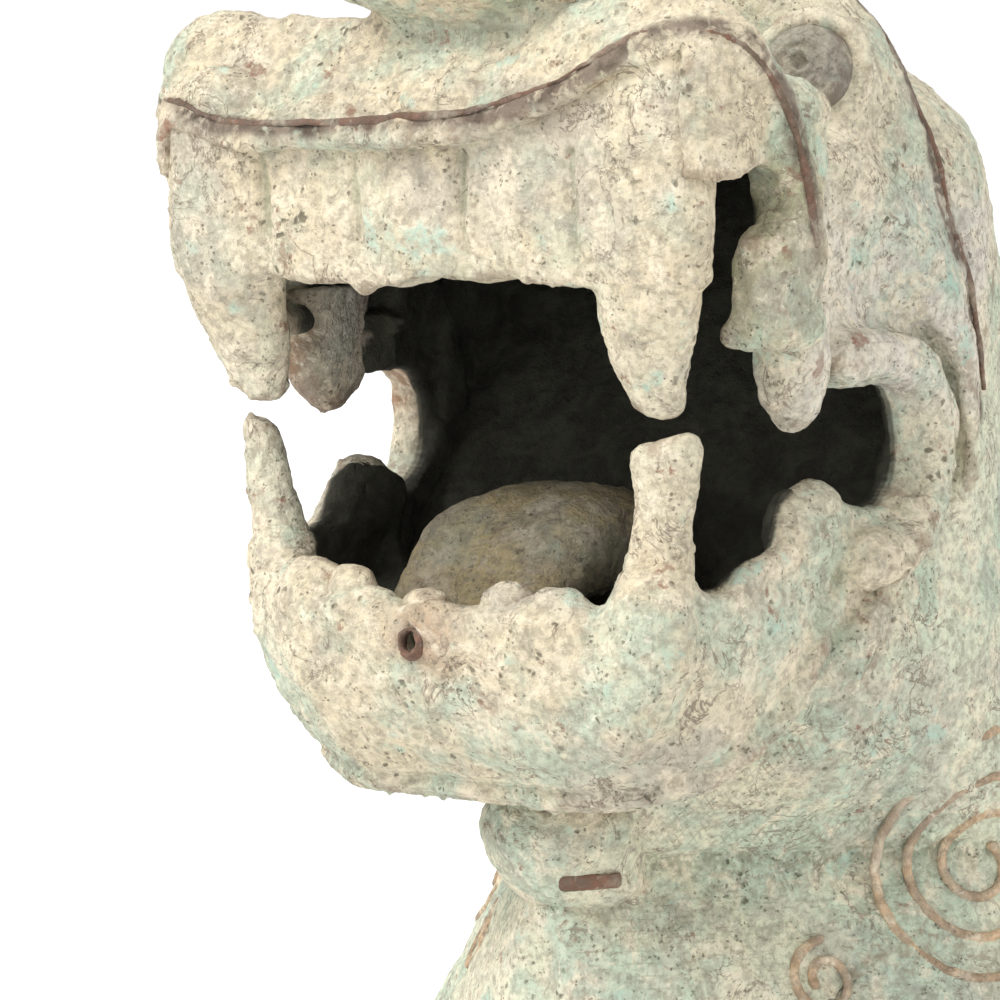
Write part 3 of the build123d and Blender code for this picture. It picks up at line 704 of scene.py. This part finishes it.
def make_mesh(name, clay, material, nodes, skin=None, rough=1.0, lines=False):
    """Meshes the clay, roughens it, stores what the material reads, and puts it on the frame."""
    grid = openvdb.FloatGrid()
    grid.copyFromArray(np.ascontiguousarray(clay.field))
    points, quads = grid.convertToQuads(0.0)
    points = points.astype(np.float64) * clay.cell + clay.low
    quads = quads[:, ::-1]
    mesh = bpy.data.meshes.new(name)
    mesh.vertices.add(len(points))
    mesh.loops.add(quads.size)
    mesh.polygons.add(len(quads))
    mesh.vertices.foreach_set("co", (points * MM).astype(np.float32).ravel())
    mesh.loops.foreach_set("vertex_index", quads.astype(np.int32).ravel())
    mesh.polygons.foreach_set("loop_start", np.arange(0, quads.size, 4, dtype=np.int32))
    mesh.polygons.foreach_set("use_smooth", np.ones(len(quads), bool))
    mesh.update(calc_edges=True)
    normals = np.empty(len(points) * 3, np.float32)
    mesh.vertices.foreach_get("normal", normals)
    normals = normals.reshape(-1, 3)
    # how deep under the skin each point lies, behind the front of the mouth: from it the material paints
    # shade on the walls of the hollow
    depth = -clay.sample(skin, points) if skin is not None else np.zeros(len(points))
    depth = depth * smoothstep(-47, -30, points[:, 1] - HEAD[1] + 3 * noise(points, 9, 71, 2))
    # how the surface bends: from it the material paints shade and green dirt into the hollows, and rubbed
    # wear onto the ridges
    bend = clay.sample(clay.rounding(2.4), points) * 1.6
    crowd = smoothstep(-0.2, 0.6, noise(points, 21, 5, 2))
    push = sum(height * noise(points, size, seed, octaves)
               for height, size, seed, octaves in ((0.55, 10, 11, 2), (0.34, 3.4, 21, 3), (0.16, 1.4, 41, 2)))
    push -= (0.75 * pits(points, 4.2, 1.15, 61, 0.45) + 0.5 * pits(points, 2.4, 0.75, 81, 0.4)) * crowd
    points = points + normals * (push * rough)[:, None]
    mesh.vertices.foreach_set("co", (points * MM).astype(np.float32).ravel())
    for attribute, values in (("bend", bend), ("depth", depth),
                              ("line", stain_lines(points) if lines else np.zeros(len(points)))):
        layer = mesh.attributes.new(attribute, "FLOAT", "POINT")
        layer.data.foreach_set("value", values.astype(np.float32))
    tint = np.ones((len(points), 4), np.float32)
    tint[:, :3] = region_tint(points)
    mesh.attributes.new("tint", "FLOAT_COLOR", "POINT").data.foreach_set("color", tint.ravel())
    mesh.materials.append(material)
    mesh.update()
    piece = bpy.data.objects.new(name, mesh)
    bpy.context.scene.collection.objects.link(piece)
    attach(piece, "root")
    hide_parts(*nodes)
    return piece


def grown_box(nodes, grow):
    """A box in millimetres round the named CAD nodes, grown on every side."""
    corners = np.array([[*low, *high] for low, high in (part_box(node) for node in nodes)]) / MM
    return corners[:, :3].min(0) - grow, corners[:, 3:].max(0) + grow


# ------------------------------------------------------------------ castings
SEAM = 0.8      # castings overlap by this much where they meet


def carve_head():
    low, high = grown_box(["head", "lower_jaw", "cheek_left", "cheek_right"], 8)
    clay, skin = lay_beast(low, high, HEAD_CELL)
    whole = clay.field
    for name, nodes in (("head_casting", ["head", "cheek_left", "cheek_right"]),
                        ("lower_jaw_casting", ["lower_jaw"])):
        clay.field = whole
        clay.limit(lambda x, y, z: -neck_side(x, y, z) - SEAM)
        if name == "head_casting":
            clay.limit(lambda x, y, z: -in_jaw(x, y, z) - SEAM)
            for side in SIDES.values():
                clay.cut(ear_shapes(side)[0])
            clay.limit(lambda x, y, z: -np.maximum(np.maximum(np.abs(x) - 46.8, y - HEAD[1] + 48),
                                                   above_lip(x, z, 2.2)))
        else:
            clay.limit(in_jaw)
        make_mesh(name, clay, BRONZE, nodes, skin, lines=True)


def ear_shapes(side):
    outer = [(20.5, 6, 62, 8), (21, 6, 80, 8.2), (22.5, 7.5, 95, 5.6), (24, 9, 107, 2.2)]
    scoop = [(22.5, -3, 80, 4.2), (23.5, -1, 92, 4.0), (24.6, 3, 102, 1.8)]
    return (tube(head_line(outer, side), spans=4, squash=(0.9, 1.25, 1)),
            tube(head_line(scoop, side), spans=4))


def carve_ears():
    for name, side in SIDES.items():
        low, high = grown_box([f"ear_{name}"], 5)
        clay = Clay(low, high, FINE_CELL * 1.4)
        outer, scoop = ear_shapes(side)
        clay.join(outer)
        clay.cut(scoop, 1.5)
        make_mesh(f"ear_{name}_casting", clay, BRONZE, [f"ear_{name}"], rough=0.6)


def above_lip(x, z, gap=0.0):
    """Above 0 over the rim of the lip."""
    return (z - HEAD[2] - np.interp(x, *LIP_HEIGHT) + gap).astype(np.float32)


def carve_upper_teeth():
    low, high = grown_box(["upper_teeth"], 9)
    clay = Clay(low, high, FINE_CELL)
    clay.join(block(at_head(0, -41, 56), (52.8, 14.6, 24), 12.5))
    clay.cut(block(at_head(0, -36, 50), (47.5, 14.8, 34), 9), 1.5)
    clay.limit(lambda x, y, z: np.abs(x) - 48.2, 1.5)
    clay.limit(lambda x, y, z: above_lip(x, z, 0.6) + 0 * y, 1.5)
    clay.limit(lambda x, y, z: y - HEAD[1] + 48.6)
    # upright swellings of the single teeth
    edges = (-45.0, *TOOTH_GROOVES, 45.0)
    for a, b in zip(edges, edges[1:]):
        clay.join(tube(head_line([((a + b) / 2, -51.2, 58), ((a + b) / 2, -51.0, 28)]), (b - a) * 0.30, 1,
                       (0.62, 1.6, 1)), 4)
    clay.limit(lambda x, y, z: (HEAD[2] + 35.4 - z) + 0.5 * np.sin(x * 0.13) + 0.3 * np.sin(x * 0.41 + 1)
               + 0 * y, 0.9)
    for x, depth in zip(TOOTH_GROOVES, (0.9, 0.5, 0.9, 0.7)):
        crack = [(x - 0.3, -55.4, 54), (x + 0.3, -55.3, 44), (x, -54.8, 34)]
        clay.cut(tube(head_line(crack), depth, 2), 1.4)
    clay.join(ball(at_head(-10.6, -52.6, 35.6), (1.7, 1.6, 2.4)), 1.5)
    for side in SIDES.values():
        fang = [(39.4, -50.6, 62, 5.3), (39.0, -51.0, 46, 5.7), (38.0, -50.2, 36, 5.6),
                (37.2, -48.2, 28, 4.6), (36.6, -46.2, 21.5, 3.3), (36.4, -45.2, 19.0, 2.8)]
        clay.join(tube(head_line(fang, side), spans=4, squash=(0.62, 1.1, 1)), 1.6)
    make_mesh("upper_teeth_row", clay, TEETH, ["upper_teeth"], rough=0.75)


def carve_small_teeth():
    for name, side in SIDES.items():
        upper = ([(45.2, -23.5, 31, 7.2), (45, -23.4, 23, 7.4), (44.6, -22.6, 18.2, 5.2)] if side > 0
                 else [(44.6, -19.5, 31, 8.4), (44.4, -19, 23, 8.0), (44, -19.5, 17.6, 4.6)])
        lower = [(41.8, -17.5, -2, 4.8), (42, -13.5, 0.6, 5.2), (41.6, -9, -1.5, 4.4)]
        for node, line, squash in ((f"upper_back_tooth_{name}", upper, (1.5, 1, 1)),
                                   (f"lower_back_tooth_{name}", lower, (1.25, 1, 1))):
            clay = Clay(*grown_box([node], 5), FINE_CELL)
            clay.join(tube(head_line(line, side), spans=4, squash=squash))
            make_mesh(f"{node}_casting", clay, TEETH, [node], rough=0.9)
        node = f"lower_fang_{name}"
        clay = Clay(*grown_box([node], 6), FINE_CELL)
        if side > 0:
            fang = [(32.6, -40.8, -17, 7.4), (33.4, -41.0, -9, 6.2), (34.9, -41.8, -1, 4.8),
                    (36.0, -42.6, 5, 4.3), (36.6, -43.4, 11.0, 5.5)]
        else:
            fang = [(35.0, -39.8, -17, 7.0), (36.0, -40.0, -8, 5.4), (37.6, -40.8, 0, 4.2),
                    (38.6, -41.6, 7, 3.5), (39.0, -42.4, 12.2, 3.0)]
        clay.join(tube(head_line(fang, side), spans=5, squash=(1, 1.25, 1)))
        clay.limit(lambda x, y, z: z - HEAD[2] - 13 - 0.25 * (side * x - 37), 1.2)
        make_mesh(f"{node}_casting", clay, TEETH, [node], rough=0.8)
    low, high = grown_box(["lower_incisors"], 5)
    clay = Clay(low, high, FINE_CELL)
    for x, top in ((-17, -7.4), (-3, -10.2), (12, -9.0)):
        clay.join(ball(at_head(x, -48, top - 4.5), (5.0, 3.6, 4.8)), 1.5)
    make_mesh("lower_incisor_stubs", clay, TEETH, ["lower_incisors"], rough=1.0)


def carve_tongue():
    low, high = grown_box(["tongue"], 5)
    clay = Clay(low, high, FINE_CELL * 1.3)
    clay.join(side_prism([(-44, -14), (-41, -9), (-34, -1.8), (-26, 3), (-18, 4.6), (-10, 2.4), (-4, -4),
                          (-1, -13), (-3, -38), (-14, -38), (-15, -18), (-22, -12), (-32, -13), (-42, -18)]))
    clay.limit(lambda x, y, z: (np.abs(x) - 16.5) + 0 * y, 7)
    clay.limit(lambda x, y, z: (z - HEAD[2] - 4.6 + x * x / 48) + 0 * y, 3)
    make_mesh("tongue_casting", clay, TONGUE, ["tongue"], rough=0.8)


def carve_eyes():
    for name, side in SIDES.items():
        low, high = grown_box([f"eye_{name}"], 4)
        clay = Clay(low, high, FINE_CELL * 0.8)
        outward = np.array([side * 0.66, -0.74, 0.12])
        seat = at_head(side * 38.0, -8.9, 66.2)
        clay.join(ball(seat, 7.2))
        clay.limit(lambda x, y, z: (x - seat[0]) * outward[0] + (y - seat[1]) * outward[1]
                   + (z - seat[2]) * outward[2] - 4.6, 1.5)
        clay.limit(lambda x, y, z: 1.5 - ((x - seat[0]) * outward[0] + (y - seat[1]) * outward[1]
                                          + (z - seat[2]) * outward[2]))
        across, up = np.array([side * 0.74, 0.66, 0.0]), np.array([-side * 0.08, 0.09, 0.99])
        pupil = seat + outward * 4.6 - across * 1.6 + up * 0.8
        for radius, width in ((2.4, 0.45), (5.0, 0.5)):
            ring = [pupil + radius * (np.cos(a) * across + np.sin(a) * up) for a in np.linspace(0, 6.29, 25)]
            clay.cut(tube(ring, width, 1), 0.4)
        clay.cut(ball(pupil, 1.35), 0.4)
        make_mesh(f"eye_{name}_disc", clay, EYE, [f"eye_{name}"], rough=0.35)


def carve_body():
    """The trunk and its belly plate, from the one field of trunk, legs and tail, cut apart where the pieces
    meet.
    """
    low, high = grown_box(["trunk", "belly_plate"], 7)
    clay, skin = lay_beast(low, high, BODY_CELL)
    whole = clay.field
    clay.limit(lambda x, y, z: neck_side(x, y, z) - SEAM)
    for region in leg_regions().values():
        clay.limit(lambda x, y, z: -region(x, y, z) - SEAM)
    clay.limit(lambda x, y, z: -tail_region(x, y, z) - SEAM)
    body = clay.field
    clay.limit(lambda x, y, z: 0.3 - patch_region(x, y, z))
    make_mesh("trunk_casting", clay, BRONZE, ["trunk"], skin, lines=True)
    clay.field = body
    clay.limit(patch_region)
    make_mesh("belly_plate_casting", clay, BRONZE, ["belly_plate"], skin)


def patch_region(x, y, z):
    """The oval patch in the underside of the trunk."""
    oval = (np.sqrt((x / 16.8) ** 2 + (y / 33.8) ** 2) - 1) * 17
    return np.maximum(oval, z - 100)


def leg_regions():
    """Where each leg is: below the joint's ball, on its own side."""
    regions = {}
    for place, y, z, radius in (("front", -85, 110, 38), ("rear", 90, 122, 40)):
        for name, side in SIDES.items():
            def region(x, yy, zz, side=side, y=y, z=z, radius=radius):
                round_part = np.sqrt((x - side * 30) ** 2 + (yy - y) ** 2 + (zz - z) ** 2) - radius
                column = np.maximum(zz - 92, np.abs(yy - y + 8) - 56)
                return np.maximum(np.minimum(round_part, column), 0.2 - side * x)
            regions[f"leg_{place}_{name}"] = region
    return regions


def tail_region(x, y, z):
    return np.maximum(128 - y, 190 - z) + 0 * x


def carve_legs():
    for node, region in leg_regions().items():
        low, high = grown_box([node], 6)
        low[2] = -1.0
        clay, skin = lay_beast(low, high, BODY_CELL)
        clay.limit(region)
        clay.limit(lambda x, y, z: 0.6 - z + 0 * x, 1.0)
        make_mesh(f"{node}_casting", clay, BRONZE, [node], skin)


def carve_tail():
    low, high = grown_box(["tail"], 5)
    clay = Clay(low, high, BODY_CELL)
    lay_trunk(clay)
    lay_tail(clay)
    clay.limit(tail_region)
    make_mesh("tail_casting", clay, BRONZE, ["tail"])


# ------------------------------------------------------------------ inlays
def spiral_line(centre, right, up, turns, outer, inner):
    steps = int(turns * 24)
    t = np.linspace(0, 1, steps + 1)[:, None]
    angle = 2 * np.pi * turns * t
    radius = outer + (inner - outer) * t
    return np.array(centre) + radius * (np.cos(angle) * np.array(right) + np.sin(angle) * np.array(up))


def drop_to_skin(line, outward, reach=30.0):
    """Moves each point along outward until it lies on the beast's skin."""
    outward = np.broadcast_to(np.array(outward, float), line.shape)
    low, high = line.min(0) - reach, line.max(0) + reach
    clay, skin = lay_beast(low, high, 1.2)
    steps = np.arange(-reach + 2, reach - 2, 0.3)
    placed = []
    for point, way in zip(line, outward):
        path = point + steps[:, None] * way
        values = clay.sample(skin, path)
        inside = np.nonzero(values < 0)[0]
        placed.append(path[inside[-1]] if len(inside) else point)
    placed = np.array(placed)
    for _ in range(3):
        placed[1:-1] = (placed[:-2] + placed[1:-1] * 2 + placed[2:]) / 4
    return placed


def lay_wire(name, nodes, material, lines, radius, rough=0.25):
    low = np.min([line.min(0) for line in lines], 0) - 4
    high = np.max([line.max(0) for line in lines], 0) + 4
    clay = Clay(low, high, FINE_CELL)
    for line in lines:
        clay.join(tube(line, radius, 1))
    make_mesh(name, clay, material, nodes, rough=rough)


def lay_inlays():
    for name, side in SIDES.items():
        outward = np.array([side * KEEL[0], -KEEL[1], 0])
        right = -np.array([side * KEEL[1], KEEL[0], 0])
        up = np.array([0, 0, 1.0])
        big = spiral_line((side * 46, -83, 158), up, right, 2.9, 21.5, 3)
        small = spiral_line((side * 36, -111, 142), up, right, 1.3, 6, 2)
        lines = [drop_to_skin(line, outward) for line in (big, small)]
        lay_wire(f"shoulder_spiral_{name}", [f"shoulder_inlay_{name}"], GOLD, lines, 0.85)
        haunch = spiral_line((side * 58, 90, 134), up, (0, 1, 0), 2.6, 21, 3)
        lines = [drop_to_skin(haunch, (side, 0, 0))]
        lay_wire(f"haunch_spiral_{name}", [f"haunch_inlay_{name}"], GOLD, lines, 0.85)


def lay_head_inlays():
    lines = []
    for side in SIDES.values():
        crest = curve_points(head_line(lip_line(side)[:-2], side), 4)
        round_side = smoothstep(40, 53, np.abs(crest[:, 0]))[:, None]
        way = round_side * (side * 0.85, -0.5, 0.1) + (1 - round_side) * (0, -0.6, 0.8)
        lines.append(drop_to_skin(crest, way, 7))
    lay_wire("lip_inlay_wire", ["lip_inlay"], COPPER, lines, 0.62, 0.6)
    for name, side in SIDES.items():
        crest = curve_points(head_line(BROW_ROLL, side), 4)
        line = drop_to_skin(crest, (side * 0.55, 0.45, 0.7), 13)
        node = f"brow_inlay_{name}"
        lay_wire(f"{node}_wire", [node], COPPER, [line], 0.65, 0.5)


def carve_spacers():
    """Copper spacers: the pierced one in the chin, and two on each flank."""
    low, high = grown_box(["core_spacers"], 6)
    clay = Clay(low, high, FINE_CELL * 2)
    for y in (-20.0, 44.0):
        for side in SIDES.values():
            seat = drop_to_skin(np.array([[side * 40.0, y, 150.0]]), (side, 0, 0), 20)[0]
            clay.join(tube([seat - (side * 4, 0, 0), seat + (side * 0.1, 0, 0)], 3.0, 1), 0.5)
    clay.join(ball(at_head(-2, -52.6, -18), (2.9, 2.4, 2.7)), 0.5)
    clay.cut(tube(head_line([(-2.4, -60, -18), (-2.2, -50.5, -18)]), 1.5, 1), 0.8)
    make_mesh("core_spacer_studs", clay, COPPER, ["core_spacers"], rough=0.6)


def carve_throat():
    """The tuft under the chin with its copper strip."""
    low, high = grown_box(["throat_tuft"], 12)
    clay = Clay(low, high, FINE_CELL)
    clay.join(ball(at_head(0, -17, -50), (13.5, 12, 10)))
    clay.join(ball(at_head(0, -14, -57), (11.5, 10, 6)), 3)
    make_mesh("throat_tuft_casting", clay, BRONZE, ["throat_tuft"], rough=0.9)
    strip = Clay(low, high, FINE_CELL)
    strip.field = clay.field - 0.7
    strip.limit(lambda x, y, z: np.abs(z - HEAD[2] + 57 - 0.06 * x) - 1.3 + 0 * y, 0.8)
    strip.limit(lambda x, y, z: np.abs(KEEL[0] * x + KEEL[1] * (y - HEAD[1]) + 6) - 4.8, 0.8)
    make_mesh("throat_strip", strip, COPPER, ["throat_band"], rough=0.5)


carve_head()
carve_ears()
carve_upper_teeth()
carve_small_teeth()
carve_tongue()
carve_eyes()
carve_body()
carve_legs()
carve_tail()
lay_inlays()
lay_head_inlays()
carve_spacers()
carve_throat()


# ------------------------------------------------------------------ kept CAD nodes
KEPT = {"leg_cores": CLAY_CORE}
for node, material in KEPT.items():
    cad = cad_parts[node]
    cad.data.materials.clear()
    cad.data.materials.append(material)


# ------------------------------------------------------------------ studio
def build_studio():
    scene = bpy.context.scene
    bpy.ops.mesh.primitive_plane_add(size=60, location=(0, 0, 0))
    floor = bpy.context.object
    floor.name = "studio_floor"
    floor.data.materials.append(floor_material())
    world = bpy.data.worlds.new("studio_world")
    world.use_nodes = True
    background = world.node_tree.nodes["Background"]
    background.inputs["Color"].default_value = (1, 1, 1, 1)
    background.inputs["Strength"].default_value = 1.02
    scene.world = world
    sun = bpy.data.lights.new("key_sun", "SUN")
    sun.energy, sun.angle = 2.3, math.radians(30)
    lamp = bpy.data.objects.new("key_sun", sun)
    lamp.rotation_euler = Vector((0.35, 0.75, -0.9)).to_track_quat("-Z", "Y").to_euler()
    scene.collection.objects.link(lamp)
    scene.view_settings.view_transform = "Standard"

    camera_data = bpy.data.cameras.new("camera")
    camera_data.lens, camera_data.sensor_width = 180, 36
    camera_data.clip_start, camera_data.clip_end = 0.01, 100
    camera = bpy.data.objects.new("camera", camera_data)
    target = Vector((HEAD + np.array([0, -33.7, 2])) * MM)
    azimuth, elevation, away = math.radians(36), math.radians(4.5), 0.75
    toward = Vector((math.sin(azimuth) * math.cos(elevation), -math.cos(azimuth) * math.cos(elevation),
                     math.sin(elevation)))
    camera.location = target + away * toward
    camera.rotation_euler = (-toward).to_track_quat("-Z", "Y").to_euler()
    scene.collection.objects.link(camera)
    scene.camera = camera


build_studio()
